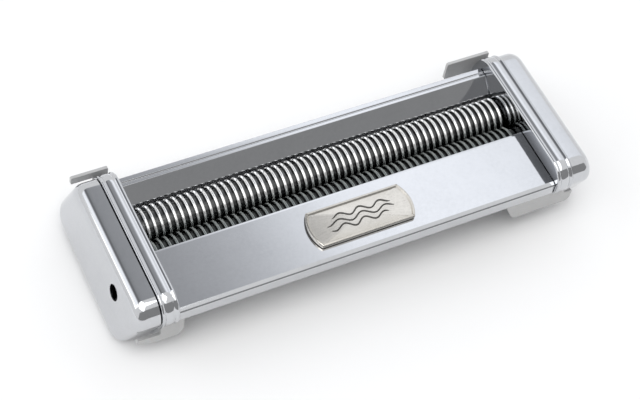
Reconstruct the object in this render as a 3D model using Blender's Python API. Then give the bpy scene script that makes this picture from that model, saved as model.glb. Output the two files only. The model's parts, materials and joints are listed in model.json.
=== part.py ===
"""Noodle cutter attachment of a hand-cranked pasta machine.

Two grooved rollers turn between two side frames. Sheet panels lead the dough to them, combs lift the
noodles out of the grooves, and three gears under the left end cap turn both rollers from one crank socket.

Sizes are in millimetres and become metres in the last step. X runs along the rollers, +Y points to the
rear and +Z up. The body rests on Z = 0, and Y = 0 is the middle of its depth.
"""
import math

import bmesh
import bpy

MM = 0.001

# Overall sizes.
CLEAR_WIDTH = 158.0        # between the webs of the side frames
BODY_HEIGHT = 31.9         # floor to the top of the side frames
TOP_FRONT_Y = -40.3        # corners of the side frame's outline, before rounding
TOP_REAR_Y = 27.7
FOOT_FRONT_Y = -26.5
FOOT_REAR_Y = 39.7
OUTLINE_RADIUS = 8.6

# Side frames.
WEB_THICKNESS = 1.2
RIM_WIDTH = 6.8
SEAT_GAP = 0.3             # left between pieces that touch

# End caps.
CAP_STEP = 0.9             # the cap lies this far inside the side frame's outline
CAP_DEPTH = 8.9            # at the top of the cap
CAP_WALL = 1.0
CAP_EDGE_RADIUS = 3.0
CAP_LEAN = 0.173           # outward run of the end face per millimetre down
CAP_FLOOR_RISE_FRONT = 1.0
CAP_FLOOR_RISE_REAR = 3.6
CRANK_HOLE_RADIUS = 3.2

# Rollers.
ROLLER_CENTRE_DISTANCE = 15.0
NIP_Y = 2.1
ROLLER_PANEL_GAP = 1.1      # under the front panel's inner edge
RING_INTERLEAVE = 1.0       # the rings of one roller reach this far past those of the other
RING_WIDTH = 1.2
RING_PITCH = 2.8
REAR_RING_COUNT = 56
FRONT_RING_COUNT = 55
RING_CLEARANCE = 0.35
RING_SIDES = 8
JOURNAL_RADIUS = 3.5
JOURNAL_SIDES = 16
CRANK_JOURNAL_RADIUS = 3.3
RUNNING_GAP = 0.2
ROLLER_END_GAP = 0.4

# Gears.
ROLLER_GEAR_TEETH = 15
PINION_TEETH = 11
GEAR_WIDTH = 5.0
ADDENDUM = 0.8
DEDENDUM = 1.15
TOOTH_SHARE_ROOT = 0.62
TOOTH_SHARE_TIP = 0.24
PINION_TOP_GAP = 2.1

# Bushes, clips and the crank shaft.
BUSH_WALL = 1.3
BUSH_FLANGE_LIP = 1.2
BUSH_FLANGE_WIDTH = 0.9
CLIP_LAND = 1.7
CLIP_WIDTH = 0.8
SHAFT_TAIL = 0.8
SOCKET_HUB_RADIUS = 4.7
SOCKET_ACROSS = 5.0
SOCKET_DEPTH = 5.5
SOCKET_END_GAP = 1.0

# Panels.
PANEL_THICKNESS = 1.0
PANEL_DROP = 7.1           # top of the side frames to the front panel's inner edge
FRONT_PANEL_INNER_Y = -7.1
FRONT_PANEL_FRONT_Y = -34.1
FRONT_PANEL_SLOPE = 0.01
FRONT_LIP_HEIGHT = 5.6
FRONT_BEND_RADIUS = 2.2
REAR_RIM_DROP = 6.5
REAR_RIM_INNER_Y = 22.6
REAR_RIM_OUTER_Y = 26.6
REAR_PANEL_SLOPE = math.radians(45.0)
REAR_PANEL_GAP = 0.6       # between the rear panel's lower edge and the rings
REAR_SKIRT_RUN = 5.4
REAR_SKIRT_FALL = 15.0
REAR_BEND_RADIUS = 1.4

# Name plate.
PLATE_LENGTH = 43.0
PLATE_WIDTH = 15.6
PLATE_HEIGHT = 1.6
PLATE_CENTRE_Y = -20.6
PLATE_BOW = 2.2

# Guides that hold the attachment on the machine's body.
GUIDE_THICKNESS = 1.2
FRONT_GUIDE_Y = -33.8
FRONT_GUIDE_HEIGHT = 9.4
GUIDE_LAP = 0.5            # how far a guide's root stays inside the rim's outer edge
GUIDE_CHAMFER = 1.5
RIGHT_FRONT_GUIDE_INWARD = 20.5
RIGHT_FRONT_GUIDE_SLANT = 6.0
RIGHT_FRONT_GUIDE_OUTWARD = 3.5
LEFT_FRONT_HOOK_INWARD = -2.7
LEFT_FRONT_HOOK_OUTWARD = 8.6
LEFT_FRONT_HOOK_DIP = 0.7
LEFT_FRONT_HOOK_TONGUE = 4.3
REAR_GUIDE_Y = 31.5
REAR_GUIDE_DROP = 4.9
REAR_GUIDE_HEIGHT = 9.0
RIGHT_REAR_GUIDE_INWARD = 13.0
LEFT_REAR_TAB_OUTWARD = 8.4
LEFT_REAR_TAB_TONGUE = 3.4

# Combs and tie rods.
COMB_THICKNESS = 2.4
COMB_TOOTH_WIDTH = 0.9
COMB_TOOTH_REACH = 1.0
COMB_SPINE_START = 5.5
COMB_SPINE_WIDTH = 4.0
TIE_ROD_RADIUS = 2.5
TIE_ROD_END_RADIUS = 2.0
FRONT_TIE_ROD_Y = -21.1
REAR_TIE_ROD_GAP = 2.2     # between the rear nut and the rear gear
NUT_RADIUS = 4.0
NUT_WIDTH = 2.8

# Worked out from the sizes above.
WEB_INNER_X = CLEAR_WIDTH / 2.0
WEB_OUTER_X = WEB_INNER_X + WEB_THICKNESS
RIM_OUTER_X = WEB_INNER_X + RIM_WIDTH
CAP_OPEN_X = RIM_OUTER_X + SEAT_GAP
SPAN_X = WEB_INNER_X - SEAT_GAP
PANEL_HEIGHT = BODY_HEIGHT - PANEL_DROP
RING_RADIUS = (ROLLER_CENTRE_DISTANCE + RING_INTERLEAVE) / 2.0
GROOVE_RADIUS = ROLLER_CENTRE_DISTANCE - RING_RADIUS - RING_CLEARANCE
AXIS_HEIGHT = PANEL_HEIGHT - PANEL_THICKNESS - ROLLER_PANEL_GAP - RING_RADIUS
FRONT_AXIS = (NIP_Y - ROLLER_CENTRE_DISTANCE / 2.0, AXIS_HEIGHT)
REAR_AXIS = (NIP_Y + ROLLER_CENTRE_DISTANCE / 2.0, AXIS_HEIGHT)
GEAR_MODULE = ROLLER_CENTRE_DISTANCE / ROLLER_GEAR_TEETH
ROLLER_GEAR_TIP = GEAR_MODULE * (ROLLER_GEAR_TEETH / 2.0 + ADDENDUM)
PINION_TIP = GEAR_MODULE * (PINION_TEETH / 2.0 + ADDENDUM)
PINION_DISTANCE = GEAR_MODULE * (ROLLER_GEAR_TEETH + PINION_TEETH) / 2.0
CRANK_HEIGHT = BODY_HEIGHT - CAP_STEP - CAP_WALL - PINION_TOP_GAP - PINION_TIP
PINION_DIRECTION = math.pi - math.asin((CRANK_HEIGHT - AXIS_HEIGHT) / PINION_DISTANCE)
CRANK_AXIS = (FRONT_AXIS[0] + PINION_DISTANCE * math.cos(PINION_DIRECTION), CRANK_HEIGHT)
TIE_ROD_HEIGHT = (WEB_THICKNESS + CRANK_HEIGHT - PINION_TIP) / 2.0
REAR_TIE_ROD_Y = REAR_AXIS[0] + ROLLER_GEAR_TIP + REAR_TIE_ROD_GAP + NUT_RADIUS
BUSH_FLANGE_X = WEB_OUTER_X + SEAT_GAP
BUSH_END_X = BUSH_FLANGE_X + BUSH_FLANGE_WIDTH
GEAR_X = BUSH_END_X + SEAT_GAP
GEAR_END_X = GEAR_X + GEAR_WIDTH

CHROME = ("chrome", (0.80, 0.81, 0.83), 0.10, 1.0)
STEEL = ("turned_steel", (0.62, 0.62, 0.63), 0.25, 1.0)
GEAR_STEEL = ("gear_steel", (0.45, 0.45, 0.46), 0.40, 1.0)
NYLON = ("nylon", (0.86, 0.85, 0.80), 0.45, 0.0)
ZINC = ("zinc_steel", (0.66, 0.67, 0.68), 0.35, 1.0)
SATIN = ("satin_plate", (0.62, 0.59, 0.54), 0.30, 1.0)


def material(finish):
    """Return the material of a finish, made once: name, colour, roughness and metallic value."""
    name, colour, roughness, metallic = finish
    found = bpy.data.materials.get(name)
    if found:
        return found
    made = bpy.data.materials.new(name)
    made.use_nodes = True
    shader = made.node_tree.nodes["Principled BSDF"]
    shader.inputs["Base Color"].default_value = (*colour, 1.0)
    shader.inputs["Roughness"].default_value = roughness
    shader.inputs["Metallic"].default_value = metallic
    return made


def add_object(name, bm, finish=None, axis=None, smooth=False):
    """Turn a bmesh in millimetres into an object, with its origin on `axis` (y, z) when it has one."""
    if axis:
        bmesh.ops.translate(bm, vec=(0.0, -axis[0], -axis[1]), verts=bm.verts)
    bmesh.ops.scale(bm, vec=(MM, MM, MM), verts=bm.verts)
    bmesh.ops.recalc_face_normals(bm, faces=bm.faces)
    mesh = bpy.data.meshes.new(name)
    bm.to_mesh(mesh)
    bm.free()
    made = bpy.data.objects.new(name, mesh)
    bpy.context.scene.collection.objects.link(made)
    if axis:
        made.location = (0.0, axis[0] * MM, axis[1] * MM)
    if finish:
        mesh.materials.append(material(finish))
    if smooth:
        mesh.shade_smooth()
        mesh.set_sharp_from_angle(angle=math.radians(35.0))
    return made


def boolean(target, tool, operation):
    """Cut `tool` from `target` or join it on, and keep the tool out of the renders."""
    step = target.modifiers.new(tool.name, "BOOLEAN")
    step.operation = operation
    step.object = tool
    tool.display_type = "WIRE"
    tool.hide_render = True


def loft(bm, loops):
    """Skin a closed body over loops of equal length, with a flat face on the first and the last."""
    rings = [[bm.verts.new(point) for point in loop] for loop in loops]
    for ring, following in zip(rings, rings[1:]):
        for index in range(len(ring)):
            other = (index + 1) % len(ring)
            bm.faces.new((ring[index], ring[other], following[other], following[index]))
    bm.faces.new(rings[0])
    bm.faces.new(rings[-1])


def prism_x(outline, start, end):
    """Return a bmesh of a (y, z) outline extruded from x = start to x = end."""
    bm = bmesh.new()
    loft(bm, [[(x, y, z) for y, z in outline] for x in (start, end)])
    return bm


def prism_y(outline, start, end):
    """Return a bmesh of an (x, z) outline extruded from y = start to y = end."""
    bm = bmesh.new()
    loft(bm, [[(x, y, z) for x, z in outline] for y in (start, end)])
    return bm


def circle(centre, radius, sides, turn=0.0):
    """Return the corners of a regular polygon about a (y, z) centre."""
    angles = [turn + math.tau * index / sides for index in range(sides)]
    return [(centre[0] + radius * math.cos(a), centre[1] + radius * math.sin(a)) for a in angles]


def turned(profile, axis, sides):
    """Return a bmesh of a profile of (x, radius) points turned about an axis along X."""
    bm = bmesh.new()
    loft(bm, [[(x, y, z) for y, z in circle(axis, radius, sides)] for x, radius in profile])
    return bm


def ring_body(profile, axis, sides):
    """Return a bmesh of a closed (x, radius) outline turned about an axis along X, open at its bore."""
    bm = bmesh.new()
    loops = [[bm.verts.new((x, y, z)) for y, z in circle(axis, radius, sides)] for x, radius in profile]
    for loop, following in zip(loops, loops[1:] + loops[:1]):
        for index in range(sides):
            other = (index + 1) % sides
            bm.faces.new((loop[index], loop[other], following[other], following[index]))
    return bm


def fillet(before, corner, after, radius, steps):
    """Return the points of an arc that rounds one corner of an outline."""
    first = (before[0] - corner[0], before[1] - corner[1])
    second = (after[0] - corner[0], after[1] - corner[1])
    first_length = math.hypot(*first)
    second_length = math.hypot(*second)
    first = (first[0] / first_length, first[1] / first_length)
    second = (second[0] / second_length, second[1] / second_length)
    half = math.acos(first[0] * second[0] + first[1] * second[1]) / 2.0
    radius = min(radius, 0.45 * min(first_length, second_length) * math.tan(half))
    middle = (first[0] + second[0], first[1] + second[1])
    reach = radius / math.sin(half) / math.hypot(*middle)
    centre = (corner[0] + middle[0] * reach, corner[1] + middle[1] * reach)
    touch = radius / math.tan(half)
    start = math.atan2(corner[1] + first[1] * touch - centre[1], corner[0] + first[0] * touch - centre[0])
    end = math.atan2(corner[1] + second[1] * touch - centre[1], corner[0] + second[0] * touch - centre[0])
    sweep = (end - start + math.pi) % math.tau - math.pi
    angles = [start + sweep * step / steps for step in range(steps + 1)]
    return [(centre[0] + radius * math.cos(a), centre[1] + radius * math.sin(a)) for a in angles]


def rounded(corners, radius, steps):
    """Return a closed outline with every corner rounded."""
    points = []
    for index, corner in enumerate(corners):
        points += fillet(corners[index - 1], corner, corners[(index + 1) % len(corners)], radius, steps)
    return points


def inset(corners, distance):
    """Move every side of a clockwise polygon of (y, z) corners inwards by a distance."""
    moved = []
    for index, corner in enumerate(corners):
        before, after = corners[index - 1], corners[(index + 1) % len(corners)]
        arriving = math.atan2(corner[1] - before[1], corner[0] - before[0])
        leaving = math.atan2(after[1] - corner[1], after[0] - corner[0])
        half = (leaving - arriving) / 2.0
        normal = arriving + half - math.pi / 2.0
        reach = distance / math.cos(half)
        moved.append((corner[0] + reach * math.cos(normal), corner[1] + reach * math.sin(normal)))
    return moved


def frame_corners():
    """Return the side frame's outline, clockwise from the top front corner when seen along -X."""
    return [(TOP_FRONT_Y, BODY_HEIGHT), (TOP_REAR_Y, BODY_HEIGHT), (FOOT_REAR_Y, 0.0), (FOOT_FRONT_Y, 0.0)]


def cap_corners():
    """Return the end cap's outline: the side frame's, stepped in, with its floor raised to the rear."""
    front, rear, rear_foot, front_foot = inset(frame_corners(), CAP_STEP)
    rear_rise = CAP_FLOOR_RISE_REAR - CAP_STEP
    front_rise = CAP_FLOOR_RISE_FRONT - CAP_STEP
    rear_run = (TOP_REAR_Y - FOOT_REAR_Y) * rear_rise / BODY_HEIGHT
    front_run = (TOP_FRONT_Y - FOOT_FRONT_Y) * front_rise / BODY_HEIGHT
    return [front, rear, (rear_foot[0] + rear_run, rear_foot[1] + rear_rise),
            (front_foot[0] + front_run, front_foot[1] + front_rise)]


def outline_loop(corners, distance, radius):
    """Return a rounded outline moved inwards, with its corner radius reduced to match."""
    return rounded(inset(corners, distance), radius - distance, 5)


def sheet(path, thickness, radius):
    """Return the outline of a bent sheet: a path of (y, z) points thickened to its right-hand side."""
    directions = [math.atan2(b[1] - a[1], b[0] - a[0]) for a, b in zip(path, path[1:])]
    arriving = [directions[0]] + directions
    leaving = directions + [directions[-1]]
    under = []
    for point, first, second in zip(path, arriving, leaving):
        half = (second - first) / 2.0
        normal = first + half - math.pi / 2.0
        reach = thickness / math.cos(half)
        under.append((point[0] + reach * math.cos(normal), point[1] + reach * math.sin(normal)))
    return bend(path, radius) + bend(under, radius - thickness)[::-1]


def bend(path, radius):
    """Return an open path with its inner points rounded."""
    points = [path[0]]
    for before, corner, after in zip(path, path[1:], path[2:]):
        points += fillet(before, corner, after, max(radius, 0.3), 3)
    return points + [path[-1]]


def bore(journal):
    """Return the bore radius of what fits a journal."""
    return journal + RUNNING_GAP


def web_hole(journal):
    """Return the radius of the web's hole for the bush of a journal."""
    return bore(journal) + BUSH_WALL + RUNNING_GAP


def add_hole(target, name, axis, radius, start, end, sides=16):
    """Cut a round hole along X through an object."""
    drill = add_object(name, prism_x(circle(axis, radius, sides), start, end))
    boolean(target, drill, "DIFFERENCE")


def add_side_frame(side_name, side):
    """Add a side frame: a web with a rim around it, its guides, and the holes in its web."""
    corners = frame_corners()
    outer = outline_loop(corners, 0.0, OUTLINE_RADIUS)
    inner = outline_loop(corners, WEB_THICKNESS, OUTLINE_RADIUS)
    bm = bmesh.new()
    stations = ((WEB_INNER_X, outer), (RIM_OUTER_X, outer), (RIM_OUTER_X, inner), (WEB_OUTER_X, inner))
    loft(bm, [[(side * x, y, z) for y, z in loop] for x, loop in stations])
    frame = add_object(side_name + "_side_frame", bm, CHROME, smooth=True)
    holes = [("front", FRONT_AXIS, web_hole(JOURNAL_RADIUS)), ("rear", REAR_AXIS, web_hole(JOURNAL_RADIUS)),
             ("front_rod", (FRONT_TIE_ROD_Y, TIE_ROD_HEIGHT), TIE_ROD_END_RADIUS + SEAT_GAP),
             ("rear_rod", (REAR_TIE_ROD_Y, TIE_ROD_HEIGHT), TIE_ROD_END_RADIUS + SEAT_GAP)]
    if side < 0:
        holes.append(("crank", CRANK_AXIS, web_hole(CRANK_JOURNAL_RADIUS)))
    for hole_name, axis, radius in holes:
        ends = (side * (WEB_INNER_X - 1.0), side * (WEB_OUTER_X + 1.0))
        add_hole(frame, side_name + "_" + hole_name + "_drill", axis, radius, *ends)
    return frame


def add_guide(frame, name, corners, y):
    """Join a flat guide plate onto a side frame, with its front face at y."""
    plate = add_object(name, prism_y(corners, y, y + GUIDE_THICKNESS), CHROME)
    boolean(frame, plate, "UNION")


def add_guides(left_frame, right_frame):
    """Join the four guides: the rear ones stand behind the rim, the front ones hang below the lip."""
    lip_foot = PANEL_HEIGHT - FRONT_LIP_HEIGHT - 2.0 * SEAT_GAP
    foot = lip_foot - FRONT_GUIDE_HEIGHT
    rear_top = BODY_HEIGHT - REAR_GUIDE_DROP
    rear_foot = rear_top - REAR_GUIDE_HEIGHT
    web, rim = WEB_INNER_X, RIM_OUTER_X
    root = rim - GUIDE_LAP
    inner, outer = web - RIGHT_FRONT_GUIDE_INWARD, rim + RIGHT_FRONT_GUIDE_OUTWARD
    shoulder = lip_foot - 2.0 * GUIDE_CHAMFER
    add_guide(right_frame, "right_front_guide_blank", [
        (inner, lip_foot), (inner + RIGHT_FRONT_GUIDE_SLANT - 2.0, foot + GUIDE_CHAMFER),
        (inner + RIGHT_FRONT_GUIDE_SLANT, foot), (outer - GUIDE_CHAMFER, foot),
        (outer, foot + GUIDE_CHAMFER), (outer, shoulder), (root, shoulder), (root, lip_foot)], FRONT_GUIDE_Y)
    inner = web - RIGHT_REAR_GUIDE_INWARD
    add_guide(right_frame, "right_rear_guide_blank", [
        (inner, rear_foot), (inner, rear_top - GUIDE_CHAMFER), (inner + GUIDE_CHAMFER, rear_top),
        (root, rear_top), (root, rear_foot)], REAR_GUIDE_Y)
    inner, outer = -web - LEFT_FRONT_HOOK_INWARD, -rim - LEFT_FRONT_HOOK_OUTWARD
    dip = foot - LEFT_FRONT_HOOK_DIP
    tongue = dip + LEFT_FRONT_HOOK_TONGUE
    add_guide(left_frame, "left_front_hook_blank", [
        (inner, lip_foot), (inner, dip + 2.0 * GUIDE_CHAMFER), (inner - GUIDE_CHAMFER, dip),
        (-rim, dip), (outer, dip + 2.0 * GUIDE_CHAMFER), (outer, tongue + GUIDE_LAP),
        (-root, tongue), (-root, lip_foot)], FRONT_GUIDE_Y)
    outer = -rim - LEFT_REAR_TAB_OUTWARD
    tongue = rear_top - LEFT_REAR_TAB_TONGUE
    add_guide(left_frame, "left_rear_tab_blank", [
        (-web - GUIDE_LAP, rear_foot), (-web - GUIDE_LAP, rear_top), (outer, rear_top),
        (outer, tongue), (-root, tongue), (-root, rear_foot)], REAR_GUIDE_Y)


def add_end_cap(name, side):
    """Add a hollow end cap with a rounded outer edge and an end face that leans outwards."""
    corners = cap_corners()
    top = corners[0][1]

    def station(distance, depth_back):
        loop = outline_loop(corners, distance, OUTLINE_RADIUS - CAP_STEP)
        return [(side * (CAP_OPEN_X + CAP_DEPTH + CAP_LEAN * (top - z) - depth_back), y, z) for y, z in loop]

    def rim(distance):
        loop = outline_loop(corners, distance, OUTLINE_RADIUS - CAP_STEP)
        return [(side * CAP_OPEN_X, y, z) for y, z in loop]

    edge = CAP_EDGE_RADIUS
    loops = [station(edge, CAP_WALL), station(CAP_WALL, edge), rim(CAP_WALL), rim(0.0)]
    for step in range(4):
        angle = math.radians(30.0 * step)
        loops.append(station(edge * (1.0 - math.cos(angle)), edge * (1.0 - math.sin(angle))))
    bm = bmesh.new()
    loft(bm, loops)
    return add_object(name, bm, CHROME, smooth=True)


def rear_panel_edge(rim_height):
    """Return the rear panel's lower edge: down its slope from the rim to just short of the rings."""
    down = (-math.cos(REAR_PANEL_SLOPE), -math.sin(REAR_PANEL_SLOPE))
    from_axis = (REAR_RIM_INNER_Y - REAR_AXIS[0], rim_height - REAR_AXIS[1])
    along = from_axis[0] * down[0] + from_axis[1] * down[1]
    beside = math.hypot(*from_axis) ** 2 - along ** 2
    length = -along - math.sqrt((RING_RADIUS + REAR_PANEL_GAP) ** 2 - beside)
    return (REAR_RIM_INNER_Y + length * down[0], rim_height + length * down[1])


def add_panels():
    """Add the front panel with its lip, and the rear panel with its rim and skirt."""
    front_height = PANEL_HEIGHT - FRONT_PANEL_SLOPE * (FRONT_PANEL_INNER_Y - FRONT_PANEL_FRONT_Y)
    front_path = [(FRONT_PANEL_FRONT_Y, front_height - FRONT_LIP_HEIGHT), (FRONT_PANEL_FRONT_Y, front_height),
                  (FRONT_PANEL_INNER_Y, PANEL_HEIGHT)]
    front = sheet(front_path, PANEL_THICKNESS, FRONT_BEND_RADIUS)
    add_object("front_panel", prism_x(front, -SPAN_X, SPAN_X), CHROME, smooth=True)
    rim_height = BODY_HEIGHT - REAR_RIM_DROP
    rear_path = [rear_panel_edge(rim_height), (REAR_RIM_INNER_Y, rim_height), (REAR_RIM_OUTER_Y, rim_height),
                 (REAR_RIM_OUTER_Y + REAR_SKIRT_RUN, rim_height - REAR_SKIRT_FALL)]
    rear = sheet(rear_path, PANEL_THICKNESS, REAR_BEND_RADIUS)
    add_object("rear_panel", prism_x(rear, -SPAN_X, SPAN_X), CHROME, smooth=True)


def add_name_plate():
    """Add the domed name plate with bowed ends, seated on the front panel."""
    floor = PANEL_HEIGHT + SEAT_GAP
    steps = 6

    def outline(shrink):
        half_length = PLATE_LENGTH / 2.0 - PLATE_BOW - shrink
        half_width = PLATE_WIDTH / 2.0 - shrink
        points = []
        for side in (1.0, -1.0):
            for step in range(steps + 1):
                share = 2.0 * step / steps - 1.0
                bow = PLATE_BOW * (1.0 - share * share)
                points.append((side * (half_length + bow), PLATE_CENTRE_Y + side * share * half_width))
        return points

    bm = bmesh.new()
    levels = ((0.0, 0.0), (0.0, 0.5 * PLATE_HEIGHT), (0.6, 0.85 * PLATE_HEIGHT), (1.6, PLATE_HEIGHT))
    loft(bm, [[(x, y, floor + height) for x, y in outline(shrink)] for shrink, height in levels])
    add_object("name_plate", bm, SATIN)


def add_roller(name, axis, ring_count):
    """Add a grooved roller: rings on a core, with a journal through the right bush and the left gear."""
    profile = [(-(GEAR_END_X + SEAT_GAP + CLIP_WIDTH + SHAFT_TAIL), JOURNAL_RADIUS),
               (-(WEB_INNER_X - ROLLER_END_GAP), JOURNAL_RADIUS),
               (-(WEB_INNER_X - ROLLER_END_GAP), GROOVE_RADIUS)]
    for index in range(ring_count):
        centre = (index - (ring_count - 1) / 2.0) * RING_PITCH
        start, end = centre - RING_WIDTH / 2.0, centre + RING_WIDTH / 2.0
        profile += [(start, GROOVE_RADIUS), (start, RING_RADIUS), (end, RING_RADIUS), (end, GROOVE_RADIUS)]
    profile += [(WEB_INNER_X - ROLLER_END_GAP, GROOVE_RADIUS), (WEB_INNER_X - ROLLER_END_GAP, JOURNAL_RADIUS),
                (BUSH_END_X + SEAT_GAP + CLIP_WIDTH + SHAFT_TAIL, JOURNAL_RADIUS)]
    add_object(name, turned(profile, axis, RING_SIDES), STEEL, axis=axis, smooth=True)


def add_bush(name, side, axis, journal):
    """Add a flanged bush for a journal in the web of one side frame."""
    inside = bore(journal)
    outside = inside + BUSH_WALL
    lip = outside + BUSH_FLANGE_LIP
    start = side * (WEB_INNER_X + RUNNING_GAP)
    flange = side * BUSH_FLANGE_X
    end = side * BUSH_END_X
    profile = [(start, inside), (start, outside), (flange, outside), (flange, lip), (end, lip), (end, inside)]
    add_object(name, ring_body(profile, axis, JOURNAL_SIDES), NYLON, smooth=True)


def add_clip(name, start, direction, axis):
    """Add a retaining clip around a shaft end."""
    end = start + direction * CLIP_WIDTH
    inside = bore(JOURNAL_RADIUS)
    outside = inside + CLIP_LAND
    profile = [(start, inside), (start, outside), (end, outside), (end, inside)]
    add_object(name, ring_body(profile, axis, JOURNAL_SIDES), ZINC, axis=axis, smooth=True)


def gear_outline(axis, teeth, phase):
    """Return a gear's outline with straight-sided teeth, one of them centred at the phase angle."""
    pitch_radius = GEAR_MODULE * teeth / 2.0
    root = pitch_radius - DEDENDUM * GEAR_MODULE
    tip = pitch_radius + ADDENDUM * GEAR_MODULE
    step = math.tau / teeth
    points = []
    for index in range(teeth):
        middle = phase + index * step
        for share, radius in ((-TOOTH_SHARE_ROOT, root), (-TOOTH_SHARE_TIP, tip),
                              (TOOTH_SHARE_TIP, tip), (TOOTH_SHARE_ROOT, root)):
            angle = middle + share * step / 2.0
            points.append((axis[0] + radius * math.cos(angle), axis[1] + radius * math.sin(angle)))
    return points


def add_gear(name, axis, teeth, phase, journal):
    """Add a gear with a bore for its shaft's journal, outside the left web."""
    body = prism_x(gear_outline(axis, teeth, phase), -GEAR_X, -GEAR_END_X)
    gear = add_object(name, body, GEAR_STEEL, axis=axis)
    add_hole(gear, name + "_drill", axis, bore(journal), -GEAR_X + 1.0, -GEAR_END_X - 1.0)


def add_gear_train():
    """Add the three gears, in mesh: pinion to front gear, and front gear to rear gear."""
    roller_step = math.tau / ROLLER_GEAR_TEETH
    pinion_step = math.tau / PINION_TEETH
    front_share = (PINION_DIRECTION / roller_step) % 1.0
    pinion_phase = PINION_DIRECTION + math.pi - (0.5 - front_share) * pinion_step
    rear_phase = math.pi - roller_step / 2.0
    add_gear("front_roller_gear", FRONT_AXIS, ROLLER_GEAR_TEETH, 0.0, JOURNAL_RADIUS)
    add_gear("rear_roller_gear", REAR_AXIS, ROLLER_GEAR_TEETH, rear_phase, JOURNAL_RADIUS)
    add_gear("crank_pinion", CRANK_AXIS, PINION_TEETH, pinion_phase, CRANK_JOURNAL_RADIUS)


def add_crank_shaft():
    """Add the crank shaft: a journal in the left web and a hub with a square socket behind the cap's hole."""
    cap_face = CAP_OPEN_X + CAP_DEPTH - CAP_WALL + CAP_LEAN * (cap_corners()[0][1] - CRANK_AXIS[1])
    hub_start = GEAR_END_X + SEAT_GAP
    hub_end = cap_face - SOCKET_END_GAP
    journal = CRANK_JOURNAL_RADIUS
    profile = [(-(WEB_INNER_X + RUNNING_GAP), journal), (-hub_start, journal),
               (-hub_start, SOCKET_HUB_RADIUS), (-hub_end, SOCKET_HUB_RADIUS)]
    body = turned(profile, CRANK_AXIS, JOURNAL_SIDES)
    shaft = add_object("crank_shaft", body, ZINC, axis=CRANK_AXIS, smooth=True)
    square = circle(CRANK_AXIS, SOCKET_ACROSS / math.sqrt(2.0), 4, math.pi / 4.0)
    socket = add_object("crank_socket_punch", prism_x(square, -(hub_end - SOCKET_DEPTH), -(hub_end + 1.0)))
    boolean(shaft, socket, "DIFFERENCE")


def add_comb(name, axis, outward, ring_count):
    """Add a scraper comb under one roller, with its teeth in the roller's grooves."""
    spine = axis[0] + outward * COMB_SPINE_START
    back = spine + outward * COMB_SPINE_WIDTH
    tip = axis[0] - outward * COMB_TOOTH_REACH
    outline = [(SPAN_X, back), (-SPAN_X, back), (-SPAN_X, spine)]
    for index in range(ring_count - 1):
        centre = (index - (ring_count - 2) / 2.0) * RING_PITCH
        start, end = centre - COMB_TOOTH_WIDTH / 2.0, centre + COMB_TOOTH_WIDTH / 2.0
        outline += [(start, spine), (start, tip), (end, tip), (end, spine)]
    outline.append((SPAN_X, spine))
    top = axis[1] - GROOVE_RADIUS - RING_CLEARANCE
    bm = bmesh.new()
    loft(bm, [[(x, y, z) for x, y in outline] for z in (top - COMB_THICKNESS, top)])
    add_object(name, bm, ZINC)


def add_tie_rod(name, y):
    """Add a tie rod between the webs, with a threaded end and a nut through each web."""
    axis = (y, TIE_ROD_HEIGHT)
    nut_start = WEB_OUTER_X + SEAT_GAP
    end = nut_start + NUT_WIDTH + SHAFT_TAIL
    profile = [(-end, TIE_ROD_END_RADIUS), (-SPAN_X, TIE_ROD_END_RADIUS), (-SPAN_X, TIE_ROD_RADIUS),
               (SPAN_X, TIE_ROD_RADIUS), (SPAN_X, TIE_ROD_END_RADIUS), (end, TIE_ROD_END_RADIUS)]
    add_object(name + "_tie_rod", turned(profile, axis, 12), ZINC, smooth=True)
    for side_name, side in (("left", -1.0), ("right", 1.0)):
        body = prism_x(circle(axis, NUT_RADIUS, 6), side * nut_start, side * (nut_start + NUT_WIDTH))
        nut = add_object(side_name + "_" + name + "_nut", body, ZINC)
        ends = (side * (nut_start - 1.0), side * (nut_start + NUT_WIDTH + 1.0))
        add_hole(nut, side_name + "_" + name + "_nut_drill", axis, bore(TIE_ROD_END_RADIUS), *ends, sides=12)


def main():
    """Clear the scene and build every piece."""
    for old in list(bpy.data.objects):
        bpy.data.objects.remove(old)
    left_frame = add_side_frame("left", -1.0)
    right_frame = add_side_frame("right", 1.0)
    add_guides(left_frame, right_frame)
    left_cap = add_end_cap("left_end_cap", -1.0)
    add_end_cap("right_end_cap", 1.0)
    add_hole(left_cap, "crank_hole_drill", CRANK_AXIS, CRANK_HOLE_RADIUS,
             -(CAP_OPEN_X + CAP_DEPTH - CAP_EDGE_RADIUS), -(CAP_OPEN_X + 2.0 * CAP_DEPTH), sides=24)
    add_panels()
    add_name_plate()
    add_roller("front_roller", FRONT_AXIS, FRONT_RING_COUNT)
    add_roller("rear_roller", REAR_AXIS, REAR_RING_COUNT)
    for side_name, side in (("left", -1.0), ("right", 1.0)):
        add_bush(side_name + "_front_bush", side, FRONT_AXIS, JOURNAL_RADIUS)
        add_bush(side_name + "_rear_bush", side, REAR_AXIS, JOURNAL_RADIUS)
    add_bush("crank_bush", -1.0, CRANK_AXIS, CRANK_JOURNAL_RADIUS)
    for place, axis in (("front", FRONT_AXIS), ("rear", REAR_AXIS)):
        add_clip("left_" + place + "_clip", -(GEAR_END_X + SEAT_GAP), -1.0, axis)
        add_clip("right_" + place + "_clip", BUSH_END_X + SEAT_GAP, 1.0, axis)
    add_gear_train()
    add_crank_shaft()
    add_comb("front_comb", FRONT_AXIS, -1.0, FRONT_RING_COUNT)
    add_comb("rear_comb", REAR_AXIS, 1.0, REAR_RING_COUNT)
    add_tie_rod("front", FRONT_TIE_ROD_Y)
    add_tie_rod("rear", REAR_TIE_ROD_Y)


main()
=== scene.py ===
"""Noodle cutting head for a hand-cranked pasta machine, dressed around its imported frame.

Sizes in the classes are millimetres; meshes are made in metres.
"""

import json
import logging
import math
from dataclasses import dataclass
from enum import Enum
from typing import Any, Sequence

import bmesh
import bpy
import numpy as np
from mathutils import Matrix, Vector
from mathutils.geometry import tessellate_polygon

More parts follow.
